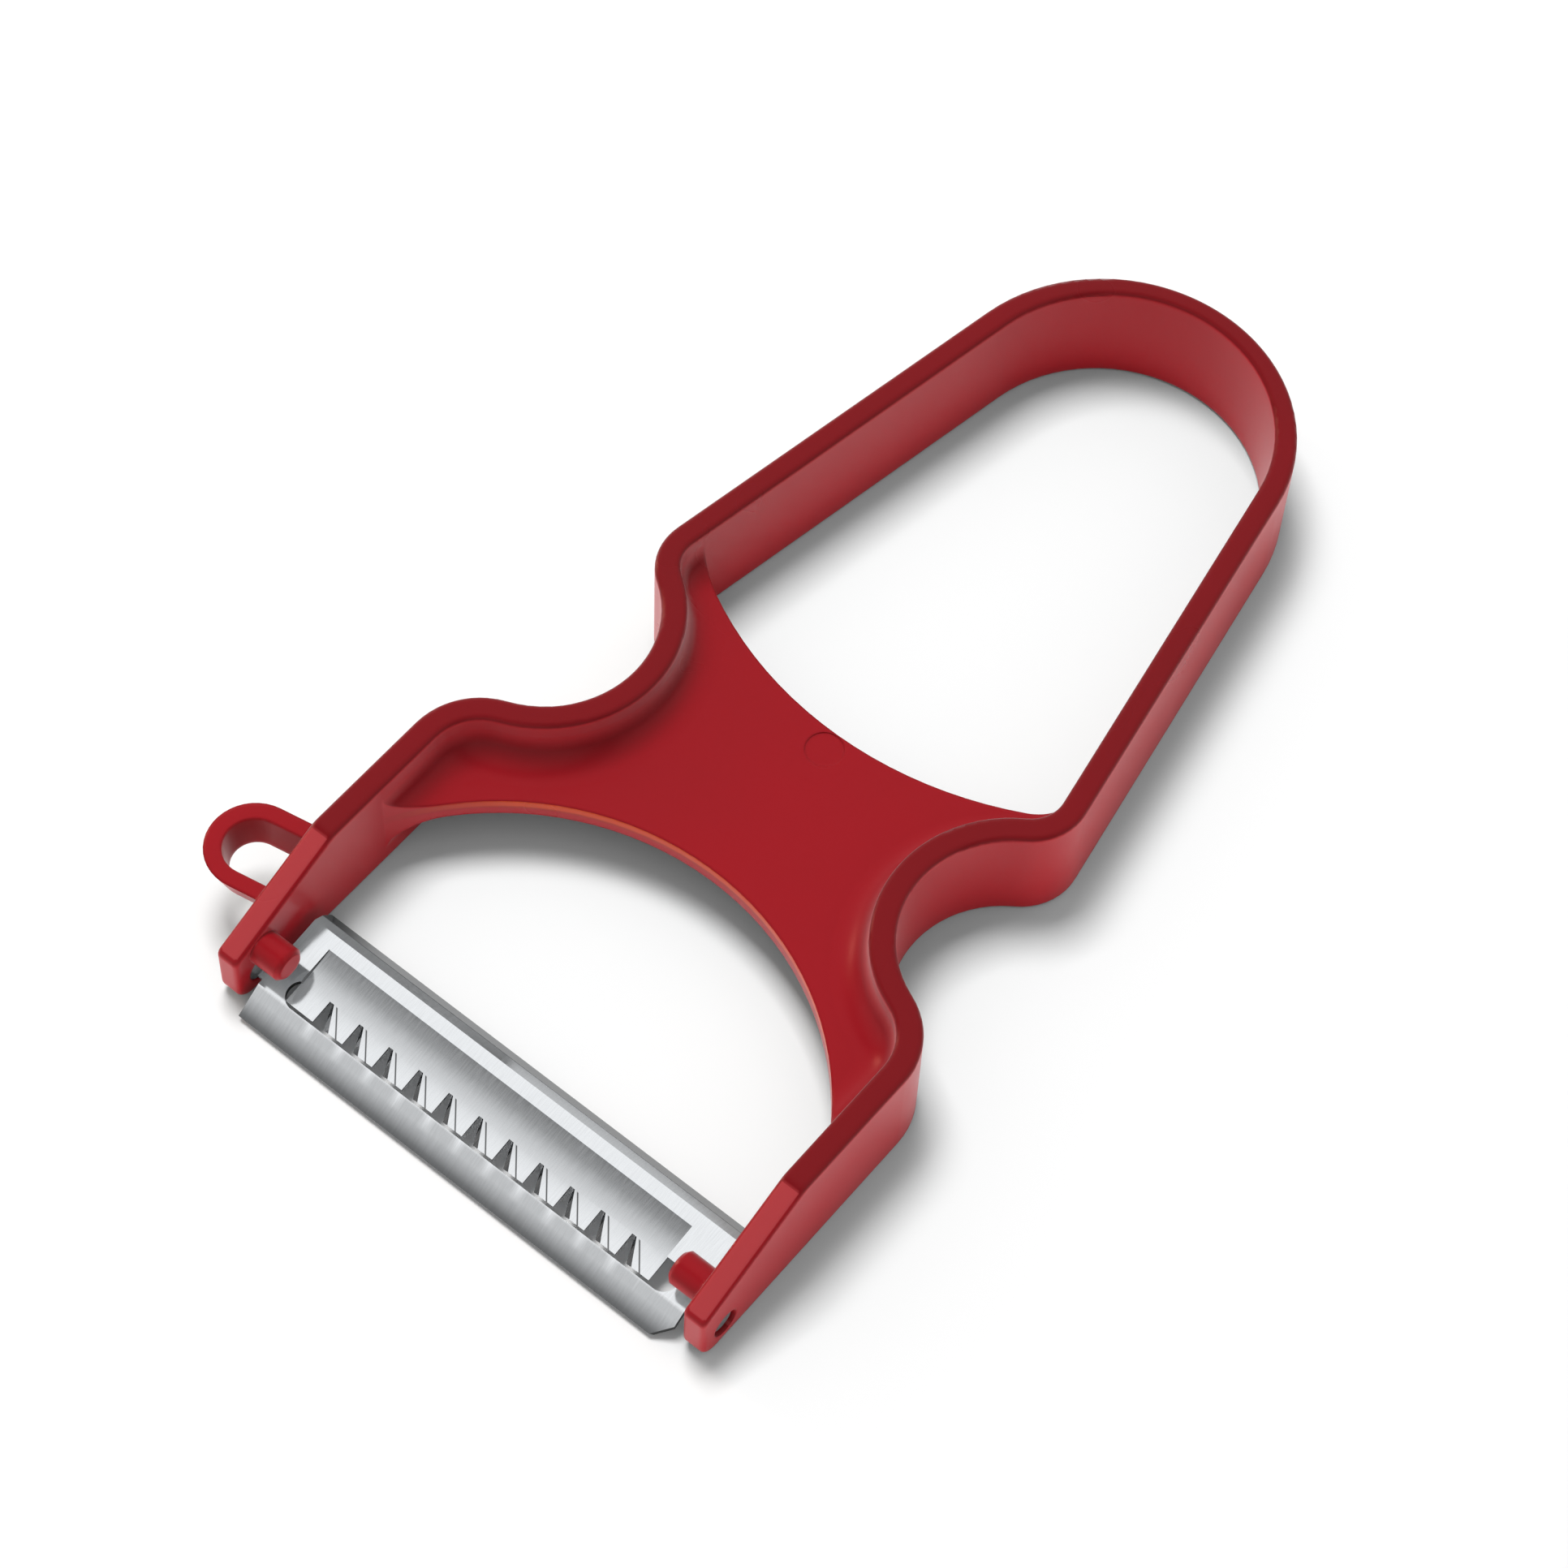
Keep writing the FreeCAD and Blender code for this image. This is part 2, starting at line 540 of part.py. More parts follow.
def folded_section(profile):
    """Section of the blade's sheet, seen along the edge: flange, deck and the two rear folds."""
    angles = [size("sheet.flange_angle"), 0, -size("sheet.facet_angle"), -size("sheet.skirt_angle")]
    lengths = [size("sheet.flange_length"), size("sheet.deck_front + sheet.deck_rear"),
               size("sheet.facet_length"), size("sheet.skirt_length")]
    angles = [math.radians(angle) for angle in angles]
    sheet_size = size("sheet.blade_sheet")
    x = -size("sheet.deck_front") - lengths[0] * math.cos(angles[0])
    y = size(DECK_TOP) - lengths[0] * math.sin(angles[0])
    upper = [(x, y)]
    for angle, length in zip(angles, lengths):
        x, y = x + length * math.cos(angle), y + length * math.sin(angle)
        upper.append((x, y))
    lower = []
    for index, (x, y) in enumerate(upper):
        before = angles[max(index - 1, 0)]
        after = angles[min(index, len(angles) - 1)]
        middle, half = (before + after) / 2, (before - after) / 2
        reach = sheet_size / math.cos(half)
        lower.append((x + reach * math.sin(middle), y - reach * math.cos(middle)))
    top = [profile.line((*upper[i], 0), (*upper[i + 1], 0)) for i in range(4)]
    bottom = [profile.line((*lower[i], 0), (*lower[i + 1], 0)) for i in range(4)]
    front = profile.line((*upper[0], 0), (*lower[0], 0))
    rear = profile.line((*upper[4], 0), (*lower[4], 0))
    for run in (top, bottom):
        for first, second in zip(run, run[1:]):
            profile.relate("Coincident", first, EXIT, second, TIP)
        profile.relate("Coincident", front, TIP if run is top else EXIT, run[0], TIP)
        profile.relate("Coincident", rear, TIP if run is top else EXIT, run[3], EXIT)
    profile.relate("Horizontal", top[1])
    profile.place(top[1], TIP, "-sheet.deck_front", DECK_TOP)
    profile.place(top[1], EXIT, "sheet.deck_rear")
    for index, name in ((0, "flange"), (2, "facet"), (3, "skirt")):
        sign = "" if name == "flange" else "-"
        profile.bind(f"{sign}sheet.{name}_angle * 1deg", "Angle", top[index], angles[index])
        profile.bind(f"sheet.{name}_length", "Distance", top[index], lengths[index])
    for index in range(4):
        profile.relate("Parallel", top[index], bottom[index])
        profile.bind("sheet.blade_sheet", "Distance", bottom[index], EXIT, top[index], sheet_size)
    profile.relate("Perpendicular", front, top[0])
    profile.relate("Perpendicular", rear, top[3])
    return profile.check()


def make_blade():
    """One steel stamping: toothed deck, sloping front flange, folded rear flange and two end tabs.

    The blade's own frame has the pivot axis at its origin, halfway through the level deck's sheet.
    """
    body = doc.addObject("PartDesign::Body", "blade")
    section = folded_section(Profile(body, "YZ_Plane", "folded_section"))
    pad(body, "folded_sheet", section, f"2 * {BLADE_END}", symmetric=True)
    cut_slot(body)

    tongue = Profile(body, "XY_Plane", "tongue_outline", DECK_FOOT)
    tongue.polygon((
        ("-sheet.tongue_left", "-sheet.tongue_front"),
        ("sheet.tongue_right", "-sheet.tongue_front"),
        ("sheet.tongue_right", "sheet.slot_rear + sheet.blade_sheet"),
        ("-sheet.tongue_left", "sheet.slot_rear + sheet.blade_sheet"),
    ))
    pad(body, "tongue", tongue.check(), "sheet.blade_sheet")
    grind_face(body)
    cut_notches(body)
    cut_corner(body)
    add_tabs(body)
    return body


def cut_slot(body):
    """Punch the round-ended peel slot through the deck."""
    slot = Profile(body, "XY_Plane", "slot_outline", DECK_TOP)
    radius = "(sheet.slot_front + sheet.slot_rear) / 2"
    middle = "(sheet.slot_rear - sheet.slot_front) / 2"
    r, y = size(radius), size(middle)
    hubs = (f"sheet.slot_right - {radius}", f"-(sheet.slot_left - {radius})")
    right = slot.arc((size(hubs[0]), y, 0), r, -math.pi / 2, math.pi / 2)
    left = slot.arc((size(hubs[1]), y, 0), r, math.pi / 2, 3 * math.pi / 2)
    rear = slot.line((size(hubs[0]), y + r, 0), (size(hubs[1]), y + r, 0))
    front = slot.line((size(hubs[1]), y - r, 0), (size(hubs[0]), y - r, 0))
    for item, following in ((right, rear), (rear, left), (left, front), (front, right)):
        slot.relate("Tangent", item, EXIT, following, TIP)
    slot.radius(right, radius)
    slot.radius(left, radius)
    slot.place(right, CENTRE, hubs[0], middle)
    slot.place(left, CENTRE, hubs[1], middle)
    pocket(body, "peel_slot", slot.check(), "2 * sheet.blade_sheet")


def grind_face(body):
    """Hollow-grind the tongue and the deck behind it, deepest at the tooth tips."""
    rear_y, front_y = size("sheet.grind_rear"), -size("sheet.tongue_front")
    rear_z = size(f"{DECK_TOP} - sheet.grind_step")
    front_z = size(f"{DECK_TOP} - sheet.grind_depth")
    top_z = size(f"{DECK_TOP} + sheet.blade_sheet")
    chord = math.hypot(rear_y - front_y, rear_z - front_z)
    lean = math.atan2(rear_z - front_z, rear_y - front_y)
    radius = size("sheet.grind_radius")
    half = math.asin(chord / 2 / radius)
    rise = radius * math.cos(half)
    hub = ((rear_y + front_y) / 2 - rise * math.sin(lean), (rear_z + front_z) / 2 + rise * math.cos(lean))
    face = Profile(body, "YZ_Plane", "grind_outline", "-sheet.tongue_left")
    base = lean - math.pi / 2
    arc = face.arc((hub[0], hub[1], 0), radius, base - half, base + half)
    back = face.line((rear_y, rear_z, 0), (rear_y, top_z, 0))
    top = face.line((rear_y, top_z, 0), (front_y, top_z, 0))
    front = face.line((front_y, top_z, 0), (front_y, front_z, 0))
    for item, following in ((arc, back), (back, top), (top, front), (front, arc)):
        face.relate("Coincident", item, EXIT, following, TIP)
    face.radius(arc, "sheet.grind_radius")
    face.place(back, TIP, "sheet.grind_rear", f"{DECK_TOP} - sheet.grind_step")
    face.place(front, EXIT, "-sheet.tongue_front", f"{DECK_TOP} - sheet.grind_depth")
    face.relate("Vertical", back)
    face.relate("Vertical", front)
    face.relate("Horizontal", top)
    face.place(top, TIP, None, f"{DECK_TOP} + sheet.blade_sheet")
    pocket(body, "ground_face", face.check(), "sheet.tongue_left + sheet.tongue_right", reverse=True)


def notch_profile(body, name, lift, head, mouth):
    """One notch at one height: straight on its left, slanting on its right."""
    profile = Profile(body, "XY_Plane", name, lift)
    left = "-sheet.notch_first"
    margin = "sheet.blade_sheet / 2"
    growth = f"({mouth} - {head}) / sheet.notch_depth * {margin}"
    inner = "-sheet.tongue_front + sheet.notch_depth"
    profile.polygon((
        (left, inner),
        (left, f"-sheet.tongue_front - {margin}"),
        (f"{left} + {mouth} + {growth}", f"-sheet.tongue_front - {margin}"),
        (f"{left} + {head}", inner),
    ))
    return profile.check()


def cut_notches(body):
    """Cut the row of notches that leaves the teeth; each has a slanting ground facet on its right."""
    top = notch_profile(body, "notch_top", DECK_TOP, "sheet.notch_head", "sheet.notch_mouth")
    foot = notch_profile(body, "notch_foot", DECK_FOOT,
                         "sheet.notch_head_below", "sheet.notch_mouth_below")
    notch = loft(body, "SubtractiveLoft", "notch", top, foot)
    axis = next(item for item in body.Origin.OriginFeatures if item.Role == "X_Axis")
    row = body.newObject("PartDesign::LinearPattern", "notch_row")
    row.Originals = [notch]
    row.Direction = (axis, [""])
    row.setExpression("Length", "sheet.notch_pitch * (sheet.notch_count - 1)")
    row.setExpression("Occurrences", "sheet.notch_count")
    body.Tip = row
    doc.recompute()


def cut_corner(body):
    """Cut the front corner off the flange's right end."""
    cut = Profile(body, "XY_Plane", "corner_cut")
    edge = "(sheet.deck_front + sheet.flange_length * cos(sheet.flange_angle * 1deg))"
    rise = "sheet.corner_rise * cos(sheet.flange_angle * 1deg)"
    outside = f"{BLADE_END} + sheet.corner_run"
    cut.polygon((
        (f"{BLADE_END} - 2 * sheet.corner_run", f"-{edge} - {rise}"),
        (outside, f"-{edge} - {rise}"),
        (outside, f"-{edge} + 2 * {rise}"),
    ))
    pocket(body, "cut_corner", cut.check(), "4 * sheet.flange_length", symmetric=True)


def tab_outline(body, name, lift):
    """Section of a tab, which is also that of the slot it is pressed into."""
    outline = Profile(body, "YZ_Plane", name, lift)
    outline.polygon((
        ("-sheet.tab_width / 2", DECK_FOOT),
        ("sheet.tab_width / 2", DECK_FOOT),
        ("sheet.tab_width / 2", DECK_TOP),
        ("-sheet.tab_width / 2", DECK_TOP),
    ))
    return outline.check()


def add_tabs(body):
    """Carry the deck's sheet on at each end as a flat tab that reaches into a pin."""
    outline = tab_outline(body, "tab_outline", BLADE_END)
    tab = pad(body, "tab", outline, f"{PIN_START} + sheet.tab_depth - {BLADE_END}")
    mirror(body, "tabs", [tab])


def make_pin(label, side):
    """Round pin in an arm's bore, with a blind slot for the blade's tab; side is 1 right, -1 left."""
    body = doc.addObject("PartDesign::Body", label)
    sign = "" if side > 0 else "-"
    start = f"{sign}{PIN_START}"
    section = Profile(body, "YZ_Plane", f"{label}_section", start)
    zero = "0 * sheet.wall"
    section.circle(zero, zero, "sheet.bore_radius - sheet.running_clearance")
    length = f"{HALF_SPAN} - sheet.pin_recess - {PIN_START}"
    pad(body, f"{label}_journal", section.check(), length, reverse=side < 0)
    slot = tab_outline(body, f"{label}_slot_outline", start)
    pocket(body, f"{label}_slot", slot, "sheet.tab_depth", reverse=side > 0)

    base = body.Tip
    rim = size(f"{HALF_SPAN} - sheet.pin_recess")
    at_rim = [f"Edge{i}" for i, edge in enumerate(base.Shape.Edges, start=1)
              if edge.BoundBox.XLength < 1e-6 and abs(abs(edge.BoundBox.XMin) - rim) < 1e-3]
    chamfer = body.newObject("PartDesign::Chamfer", f"{label}_chamfer")
    chamfer.Base = (base, at_rim)
    chamfer.setExpression("Size", "sheet.pin_chamfer")
    doc.recompute()
    return body


def seat(body, tilt=None):
    """Bind a body's place to the pivot axis, and tilt it about that axis if asked."""
    body.setExpression("Placement.Base.x", "-sheet.origin_x")
    body.setExpression("Placement.Base.y", "-sheet.origin_y")
    if body.Name != "frame":
        body.setExpression("Placement.Base.z", "sheet.pivot_height")
    if tilt:
        body.Placement.Rotation = FreeCAD.Rotation(FreeCAD.Vector(1, 0, 0), size(tilt))
        body.setExpression("Placement.Rotation.Angle", f"{tilt} * 1deg")


frame = make_frame()
blade = make_blade()
pin_right = make_pin("pivot_pin_right", 1)
pin_left = make_pin("pivot_pin_left", -1)
parts = (frame, blade, pin_right, pin_left)
seat(frame)
for swinging in (blade, pin_right, pin_left):
    seat(swinging, tilt="sheet.blade_tilt")
doc.recompute()

# The footprint of all parts together settles the origin
footprint = FreeCAD.BoundBox()
for part in parts:
    footprint.add(part.Shape.optimalBoundingBox(False))
sheet.set(f"B{ORIGIN_ROW}", str(round(footprint.Center.x, 4)))
sheet.set(f"B{ORIGIN_ROW + 1}", str(round(footprint.Center.y, 4)))
doc.recompute()

for item in doc.Objects:
    if "Invalid" in item.State or "Error" in item.State:
        raise RuntimeError(f"{item.Name} failed: {item.State}")
os.makedirs("parts", exist_ok=True)
for part in parts:
    if part.Shape.isNull() or not part.Shape.isValid() or len(part.Shape.Solids) != 1:
        raise RuntimeError(f"{part.Label} is not one valid solid")
    part.Shape.exportStep(f"parts/{part.Label}.step")
    box = part.Shape.optimalBoundingBox(False)
    corners = [round(v, 3) for v in (box.XMin, box.YMin, box.ZMin, box.XMax, box.YMax, box.ZMax)]
    print(part.Label, "volume", round(part.Shape.Volume, 2), "box", corners)
print("origin", round(size("origin_x"), 4), round(size("origin_y"), 4))
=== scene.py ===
import bpy
import json
import math
from mathutils import Matrix, Vector

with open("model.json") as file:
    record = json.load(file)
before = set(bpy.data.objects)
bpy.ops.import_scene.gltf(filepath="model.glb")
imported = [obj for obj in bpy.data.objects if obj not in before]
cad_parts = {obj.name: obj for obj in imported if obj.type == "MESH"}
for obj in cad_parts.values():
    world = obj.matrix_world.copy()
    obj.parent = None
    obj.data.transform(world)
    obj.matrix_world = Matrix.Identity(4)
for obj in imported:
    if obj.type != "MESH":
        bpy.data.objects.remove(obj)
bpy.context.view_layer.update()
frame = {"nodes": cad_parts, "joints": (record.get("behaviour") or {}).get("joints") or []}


def linear(r, g, b):
    """An sRGB colour, 0 to 255, as linear values."""
    def one(c):
        c = c / 255
        return c / 12.92 if c <= 0.04045 else ((c + 0.055) / 1.055) ** 2.4
    return (one(r), one(g), one(b), 1.0)


def grey(value):
    return linear(value, value, value)


MM = 0.001
WHITE = (1, 1, 1, 1)
PIVOT = Vector(frame["joints"][0]["pos_m"])

# The frame's colours, among them painted light, shade and glow, and the heights and distances behind the pivot axis
# that bound them
RED_DARK, RED_LIGHT = linear(140, 16, 25), linear(151, 18, 29)
# Painted light: the upright walls are painted a lighter red for the light that falls on them
LIT_WALL_RED = linear(200, 24, 38)
# Painted shade: the rim tops are multiplied darker for the shade on them
RIM_PAINTED_SHADE = grey(200)
# Painted sheen: the arms' sloped tops are painted paler for the light they mirror
PAINTED_SLOPE_SHEEN = linear(168, 58, 62)
# Painted glow: the web's edge towards the blade turns orange for light shining through the plastic
PAINTED_GLOW_ORANGE = linear(235, 80, 30)
RIM_FROM, RIM_TO = 12.1 * MM, 12.6 * MM
WEB_FOOT, WEB_TOP = 5.3 * MM, 7.5 * MM
GLOW_NEAR, GLOW_FAR = 14 * MM, 38 * MM
SLOPE_END, SLOPE_OUT = 11.5 * MM, 26.3 * MM
SOFT_EDGE = 0.5 * MM

# The blade's tilt at rest, its colours with their painted reflections and shade, and its notches' places along it
# and behind the pivot axis
BLADE_TILT = math.radians(9.9)
STEEL_TINT = (0.95, 0.975, 1.0, 1)
# Painted shade: a thin grey line beside each notch, and dark grey on the faces that look towards +X, the notch
# walls among them
NOTCH_SHADE_GREY, NOTCH_WALL_SHADE = grey(110), grey(70)
FIRST_NOTCH, NOTCH_PITCH = 19.17 * MM, 3.63 * MM
NOTCH_HEAD, NOTCH_FOOT, NOTCH_SLOPE = 0.85 * MM, 1.31 * MM, 2.0 / 2.45
NOTCH_TIP = -1.4 * MM
# Painted highlight: how far the bright spots below the notches are shifted along the blade
GLINT_SHIFT = 0.25 * MM
ROW_LEFT, ROW_RIGHT = -20 * MM, 20.6 * MM
# How far behind the pivot axis, in mm, and the grey level of the steel's painted reflections and shade there
PAINTED_REFLECTION_BANDS = ((-4.7, 108), (-4.3, 124), (-3.4, 178), (-2.6, 208), (-1.7, 212), (-1.4, 255), (7.3, 255), (7.4, 110))

# The camera: angles in degrees, the point it looks at, its distance and lens
AZIMUTH, ELEVATION, ROLL = (math.radians(a) for a in (36.44, 58.99, 3.29))
TARGET = Vector((1.09 * MM, PIVOT.y + 47.65 * MM, 0))
DISTANCE = 422.7 * MM
LENS, SENSOR = 101.65, 36.0

# The lamps, in metres and watts, and the surroundings
KEY_AWAY, KEY_LEFT, KEY_HEIGHT, KEY_SIZE, KEY_POWER = 0.27, 0.15, 0.95, 0.36, 7.9
STRIP_OFFSET, STRIP_SIZE, STRIP_POWER = Vector((-0.68, -0.03, 0.17)), (0.05, 0.30), 0.75
WARM = (1, 0.62, 0.42)
AMBIENT = 0.44
# How far a mirrored direction leans towards the loop, -1 to 1, and the grey level there
MIRRORED = ((-1.0, 245), (-0.5, 255), (-0.24, 80), (-0.165, 98), (-0.141, 132), (-0.11, 182), (-0.079, 222),
            (-0.04, 248), (0.0, 255), (0.6, 255), (1.0, 190))


class Nodes:
    """A node tree and short ways to add and join its nodes."""

    def __init__(self, tree, output):
        self.tree = tree
        tree.nodes.clear()
        self.output = tree.nodes.new(output)

    def put(self, socket, value):
        """Link the socket to another one, or store a plain value in it."""
        if isinstance(value, bpy.types.NodeSocket):
            self.tree.links.new(value, socket)
        else:
            socket.default_value = value

    def add(self, kind, settings=None, **inputs):
        """A new node; its inputs are named with underscores for spaces."""
        node = self.tree.nodes.new(kind)
        for key, value in (settings or {}).items():
            setattr(node, key, value)
        for key, value in inputs.items():
            self.put(node.inputs[key.replace("_", " ")], value)
        return node

    def numbered(self, kind, settings, inputs):
        """A new node whose inputs are given by number, for sockets that share a name."""
        node = self.add(kind, settings)
        for number, value in inputs.items():
            self.put(node.inputs[number], value)
        return node

    def place(self):
        return self.add("ShaderNodeTexCoord").outputs["Object"]

    def facing(self):
        return self.add("ShaderNodeNewGeometry").outputs["Normal"]

    def parts(self, vector):
        """The X, Y and Z of a vector."""
        return self.add("ShaderNodeSeparateXYZ", Vector=vector).outputs

    def noise(self, vector, scale, detail):
        return self.add("ShaderNodeTexNoise", Vector=vector, Scale=scale, Detail=detail).outputs["Fac"]

    def bump(self, height, strength, distance, **inputs):
        node = self.add("ShaderNodeBump", Height=height, Strength=strength, Distance=distance, **inputs)
        return node.outputs["Normal"]

    def spread(self, value, low, high, to_low=0.0, to_high=1.0):
        """Value mapped from low..high to to_low..to_high, and held there beyond."""
        node = self.add("ShaderNodeMapRange", Value=value, From_Min=low, From_Max=high,
                        To_Min=to_low, To_Max=to_high)
        return node.outputs["Result"]

    def ramp(self, value, low, high, stops):
        """Colours along low..high; each stop is (place, colour)."""
        node = self.add("ShaderNodeValToRGB", Fac=self.spread(value, low, high))
        points = node.color_ramp.elements
        while len(points) < len(stops):
            points.new(0.5)
        for point, (place, colour) in zip(points, stops):
            point.position = (place - low) / (high - low)
            point.color = colour
        return node.outputs["Color"]

    def blend(self, kind, factor, first, second):
        """Two colours blended by factor; a colour Mix node has its colours at inputs 6 and 7."""
        node = self.numbered("ShaderNodeMix", {"data_type": "RGBA", "blend_type": kind},
                             {0: factor, 6: first, 7: second})
        return node.outputs[2]

    def maths(self, operation, *values):
        node = self.numbered("ShaderNodeMath", {"operation": operation}, dict(enumerate(values)))
        return node.outputs["Value"]

    def product(self, *values):
        total = values[0]
        for value in values[1:]:
            total = self.maths("MULTIPLY", total, value)
        return total

    def either(self, factor, first, second):
        """The first shader, or the second where factor is 1."""
        return self.numbered("ShaderNodeMixShader", None, {0: factor, 1: first, 2: second}).outputs["Shader"]

    def finish(self, shader):
        self.tree.links.new(shader, self.output.inputs["Surface"])


def new_material(name):
    """An empty material and its nodes."""
    material = bpy.data.materials.new(name)
    material.use_nodes = True
    return material, Nodes(material.node_tree, "ShaderNodeOutputMaterial")


def red_tone(n, place, broad):
    """The moulding's colour: mottled, with painted shade on the rim tops, painted light on the upright walls, a
    painted orange glow on the web edge and a painted sheen on the arm slopes.
    """
    across, behind, height = n.parts(place)
    _, facing_back, facing_up = n.parts(n.facing())
    tone = n.blend("MIX", broad, RED_DARK, RED_LIGHT)
    # Painted shade: darker towards the rim tops
    rim = n.ramp(height, 11 * MM, 13 * MM, ((RIM_FROM, WHITE), (RIM_TO, RIM_PAINTED_SHADE)))
    tone = n.blend("MULTIPLY", 1.0, tone, rim)
    # Painted glow: the web's edge that faces the blade, between its foot and top, turns orange
    web_edge_glow = n.product(n.spread(facing_back, -0.4, -0.8),
                         n.spread(height, WEB_TOP + 0.1 * MM, WEB_TOP - 0.1 * MM),
                         n.spread(height, WEB_FOOT + 0.9 * MM, WEB_FOOT + 1.4 * MM),
                         n.spread(behind, PIVOT.y + GLOW_FAR, PIVOT.y + GLOW_FAR - 2 * MM),
                         n.spread(behind, PIVOT.y + GLOW_NEAR, PIVOT.y + GLOW_NEAR + 6 * MM))
    tone = n.blend("MIX", web_edge_glow, tone, PAINTED_GLOW_ORANGE)
    # Painted light: upright faces, apart from the web's glowing edge, turn a lighter red
    wall = n.product(n.spread(facing_up, 0.5, 0.1), n.spread(web_edge_glow, 0.0, 1.0, 1.0, 0.0))
    tone = n.blend("MIX", wall, tone, LIT_WALL_RED)
    from_middle = n.maths("ABSOLUTE", n.maths("SUBTRACT", across, PIVOT.x))
    # Painted sheen: the arms' sloped tops turn paler
    slope = n.product(n.spread(facing_back, -0.28, -0.36), n.spread(facing_up, 0.8, 0.88),
                      n.spread(behind, PIVOT.y + SLOPE_END, PIVOT.y + SLOPE_END - 1 * MM),
                      n.spread(from_middle, SLOPE_OUT, SLOPE_OUT + 0.3 * MM))
    return n.blend("MIX", slope, tone, PAINTED_SLOPE_SHEEN)


def red_plastic():
    """Glossy deep red moulding; the light it throws on its surroundings is kept grey."""
    material, n = new_material("red_plastic")
    place = n.place()
    fine = n.noise(place, 1500.0, 3.0)
    broad = n.noise(place, 60.0, 2.0)
    rounded = n.add("ShaderNodeBevel", {"samples": 6}, Radius=SOFT_EDGE).outputs["Normal"]
    shader = n.add("ShaderNodeBsdfPrincipled", Base_Color=red_tone(n, place, broad),
                   Roughness=n.spread(broad, 0.3, 0.7, 0.26, 0.34), IOR=1.36, Specular_Tint=(1.0, 0.5, 0.48, 1),
                   Normal=n.bump(fine, 0.08, 0.02 * MM, Normal=rounded), Subsurface_Weight=0.15,
                   Subsurface_Radius=(1.0, 0.12, 0.08), Subsurface_Scale=1.2 * MM)
    path = n.add("ShaderNodeLightPath").outputs
    dull = n.add("ShaderNodeBsdfDiffuse", Color=n.blend("MIX", path["Is Glossy Ray"], (0.12, 0.12, 0.12, 1),
                                                        (0.5, 0.5, 0.5, 1)))
    indirect = n.maths("MAXIMUM", path["Is Diffuse Ray"], path["Is Glossy Ray"])
    n.finish(n.either(indirect, shader.outputs["BSDF"], dull.outputs["BSDF"]))
    return material


def steel_tone(n, own, lines):
    """The blade's painted reflection bands, painted glints below its notches, painted shade lines beside them, and
    painted shade on its ends and notch walls.
    """
    across, behind, _ = n.parts(own)
    # Painted reflections and shade: bands of grey along the blade, set by distance behind the pivot axis
    tone = n.ramp(behind, -5 * MM, 9 * MM, [(at * MM, grey(level)) for at, level in PAINTED_REFLECTION_BANDS])
    along = n.maths("ADD", across, FIRST_NOTCH)
    in_row = n.product(n.spread(across, ROW_LEFT, ROW_LEFT + 0.7 * MM),
                       n.spread(across, ROW_RIGHT, ROW_RIGHT - 0.2 * MM))

    slant = n.maths("MULTIPLY", n.maths("SUBTRACT", NOTCH_FOOT, behind), NOTCH_SLOPE)
    from_side = n.maths("ABSOLUTE", n.maths("SUBTRACT", n.maths("MODULO", along, NOTCH_PITCH),
                                            n.maths("ADD", slant, NOTCH_HEAD)))
    # Painted shade: a thin grey line along the slanted side of each notch
    notch_shade_line = n.product(n.spread(from_side, 0.13 * MM, 0.05 * MM),
                       n.spread(behind, NOTCH_FOOT, NOTCH_FOOT - 0.1 * MM),
                       n.spread(behind, NOTCH_TIP, NOTCH_TIP + 0.1 * MM), in_row)
    tone = n.blend("MIX", notch_shade_line, tone, NOTCH_SHADE_GREY)
    # Painted shade: faces that look towards +X, the notch walls and ends among them, turn dark grey
    tone = n.blend("MIX", n.spread(n.parts(n.facing())["X"], 0.4, 0.7), tone, NOTCH_WALL_SHADE)

    # Painted highlight: a bright spot on the front flange below each notch
    from_notch = n.maths("PINGPONG", n.maths("ADD", along, -GLINT_SHIFT), NOTCH_PITCH / 2)
    glint = n.product(n.spread(from_notch, 0.8 * MM, 0.0), n.spread(behind, -3.0 * MM, -1.6 * MM),
                     n.spread(behind, NOTCH_TIP, NOTCH_TIP - 0.1 * MM), in_row)
    tone = n.blend("MIX", glint, tone, WHITE)
    tone = n.blend("MULTIPLY", 1.0, tone, STEEL_TINT)
    return n.blend("MULTIPLY", 1.0, tone, n.blend("MIX", lines, grey(225), WHITE))


def blade_steel():
    """Polished sheet with fine grain across the blade, and painted reflection bands, glints and shade from
    steel_tone.
    """
    material, n = new_material("polished_steel")
    own = n.add("ShaderNodeMapping", {"vector_type": "TEXTURE"}, Vector=n.place(), Location=PIVOT,
                Rotation=(BLADE_TILT, 0, 0)).outputs["Vector"]
    grain = n.add("ShaderNodeMapping", Vector=own, Scale=(6000.0, 500.0, 500.0)).outputs["Vector"]
    lines = n.noise(grain, 1.0, 4.0)
    shader = n.add("ShaderNodeBsdfPrincipled", Base_Color=steel_tone(n, own, lines), Metallic=1.0,
                   Roughness=n.spread(lines, 0.3, 0.7, 0.08, 0.14), Normal=n.bump(lines, 0.05, 0.01 * MM))
    n.finish(shader.outputs["BSDF"])
    return material


def pin_steel():
    """Dull drawn wire."""
    material, n = new_material("drawn_steel")
    fine = n.noise(n.place(), 2500.0, 3.0)
    shader = n.add("ShaderNodeBsdfPrincipled", Base_Color=n.blend("MIX", fine, grey(150), grey(190)), Metallic=1.0,
                   Roughness=n.spread(fine, 0.3, 0.7, 0.28, 0.42), Normal=n.bump(fine, 0.15, 0.01 * MM))
    n.finish(shader.outputs["BSDF"])
    return material


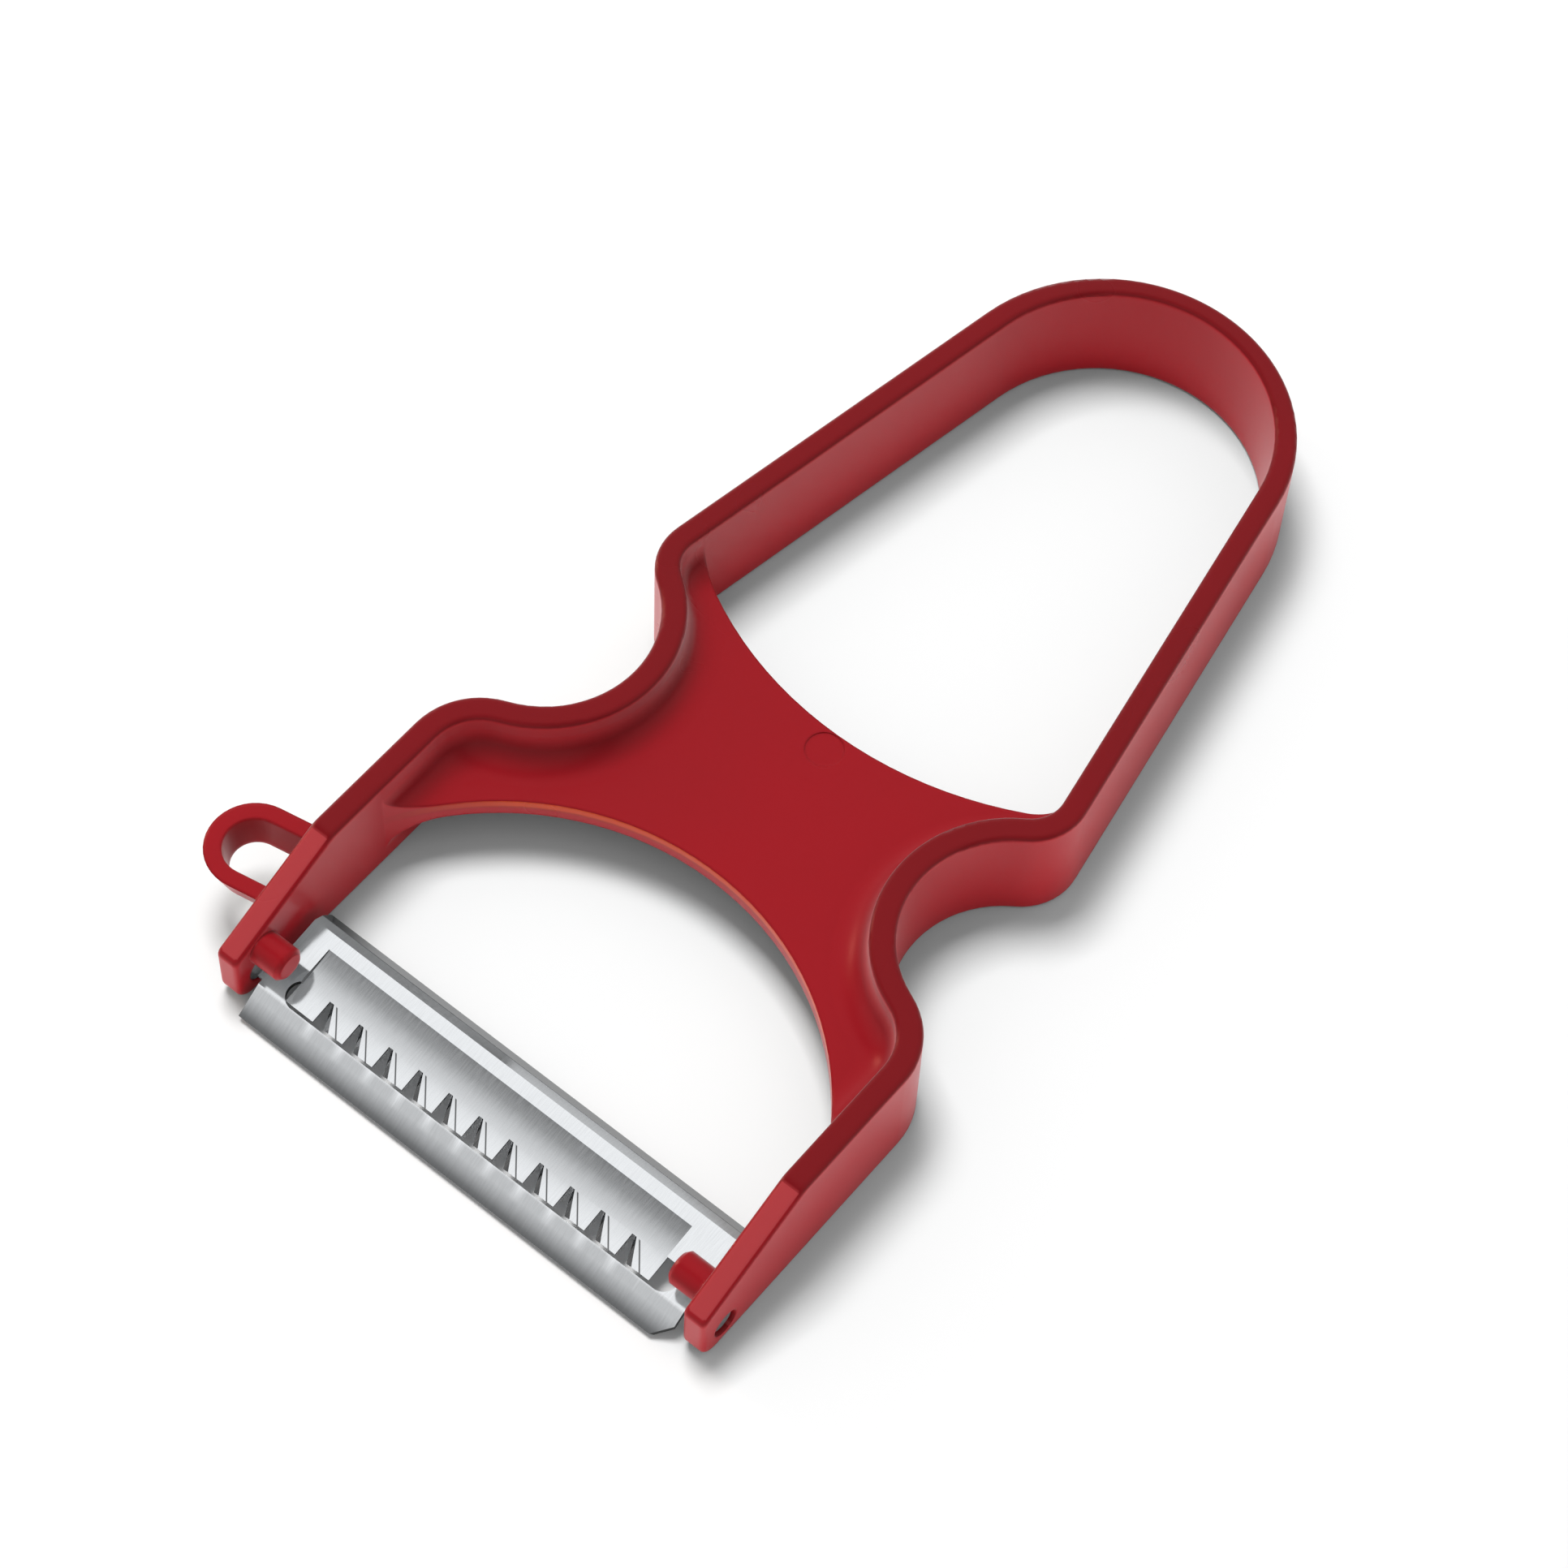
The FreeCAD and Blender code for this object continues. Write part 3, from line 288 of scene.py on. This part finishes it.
def paper():
    """The pale, dull floor."""
    material, n = new_material("paper")
    shader = n.add("ShaderNodeBsdfPrincipled", Base_Color=(0.9, 0.9, 0.9, 1), Roughness=0.9,
                   Specular_IOR_Level=0.1)
    n.finish(shader.outputs["BSDF"])
    return material


def add_camera(right, up, back):
    """The camera, which looks along -back at TARGET."""
    camera = bpy.data.objects.new("camera", bpy.data.cameras.new("camera"))
    bpy.context.scene.collection.objects.link(camera)
    turn = Matrix((right, up, back)).transposed().to_4x4()
    camera.matrix_world = Matrix.Translation(TARGET + back * DISTANCE) @ turn
    camera.data.sensor_width = SENSOR
    camera.data.lens = LENS
    camera.data.clip_start, camera.data.clip_end = 0.01, 20.0
    bpy.context.scene.camera = camera


def add_lamp(name, place, size, power, colour=(1, 1, 1)):
    """A soft rectangular lamp at place that points to TARGET."""
    data = bpy.data.lights.new(name, "AREA")
    data.shape = "RECTANGLE"
    data.size, data.size_y = size
    data.energy = power
    data.color = colour
    lamp = bpy.data.objects.new(name, data)
    bpy.context.scene.collection.objects.link(lamp)
    lamp.location = place
    lamp.rotation_mode = "QUATERNION"
    lamp.rotation_quaternion = (place - TARGET).to_track_quat("Z", "Y")
    return lamp


def add_surroundings():
    """White surroundings for soft light, and graded ones for what shiny surfaces mirror."""
    world = bpy.data.worlds.new("studio")
    bpy.context.scene.world = world
    world.use_nodes = True
    n = Nodes(world.node_tree, "ShaderNodeOutputWorld")
    lean = n.parts(n.add("ShaderNodeTexCoord").outputs["Generated"])["Y"]
    mirrored = n.ramp(lean, -1.0, 1.0, [(place, grey(level)) for place, level in MIRRORED])
    shiny = n.add("ShaderNodeBackground", Color=mirrored).outputs["Background"]
    plain = n.add("ShaderNodeBackground", Color=WHITE, Strength=AMBIENT).outputs["Background"]
    glossy = n.add("ShaderNodeLightPath").outputs["Is Glossy Ray"]
    n.finish(n.either(glossy, plain, shiny))


# Materials
for name, material, slot in (("frame", red_plastic(), "red_plastic"), ("blade", blade_steel(), "blade_steel"),
                             ("pivot_pin_left", pin_steel(), "pin_steel"),
                             ("pivot_pin_right", pin_steel(), "pin_steel")):
    node = frame["nodes"][name]
    node.data.materials.clear()
    node.data.materials.append(material)

# Floor
bpy.ops.mesh.primitive_plane_add(size=6, location=(0, 0, 0))
floor = bpy.context.object
floor.name = "floor"
floor.data.materials.append(paper())

# Camera
back = Vector((math.sin(AZIMUTH) * math.cos(ELEVATION), -math.cos(AZIMUTH) * math.cos(ELEVATION),
               math.sin(ELEVATION)))
level = Vector((math.cos(AZIMUTH), math.sin(AZIMUTH), 0))
rise = back.cross(level)
right = level * math.cos(ROLL) + rise * math.sin(ROLL)
up = rise * math.cos(ROLL) - level * math.sin(ROLL)
add_camera(right, up, back)

# Lights
add_surroundings()
away = Vector((-back.x, -back.y, 0)).normalized()
key = add_lamp("key", TARGET + away * KEY_AWAY - right * KEY_LEFT + Vector((0, 0, KEY_HEIGHT)),
               (KEY_SIZE, KEY_SIZE), KEY_POWER)
key.visible_glossy = False
add_lamp("left_strip", TARGET + STRIP_OFFSET, STRIP_SIZE, STRIP_POWER, WARM)

bpy.context.scene.view_settings.view_transform = "Standard"
bpy.context.scene.view_settings.look = "None"
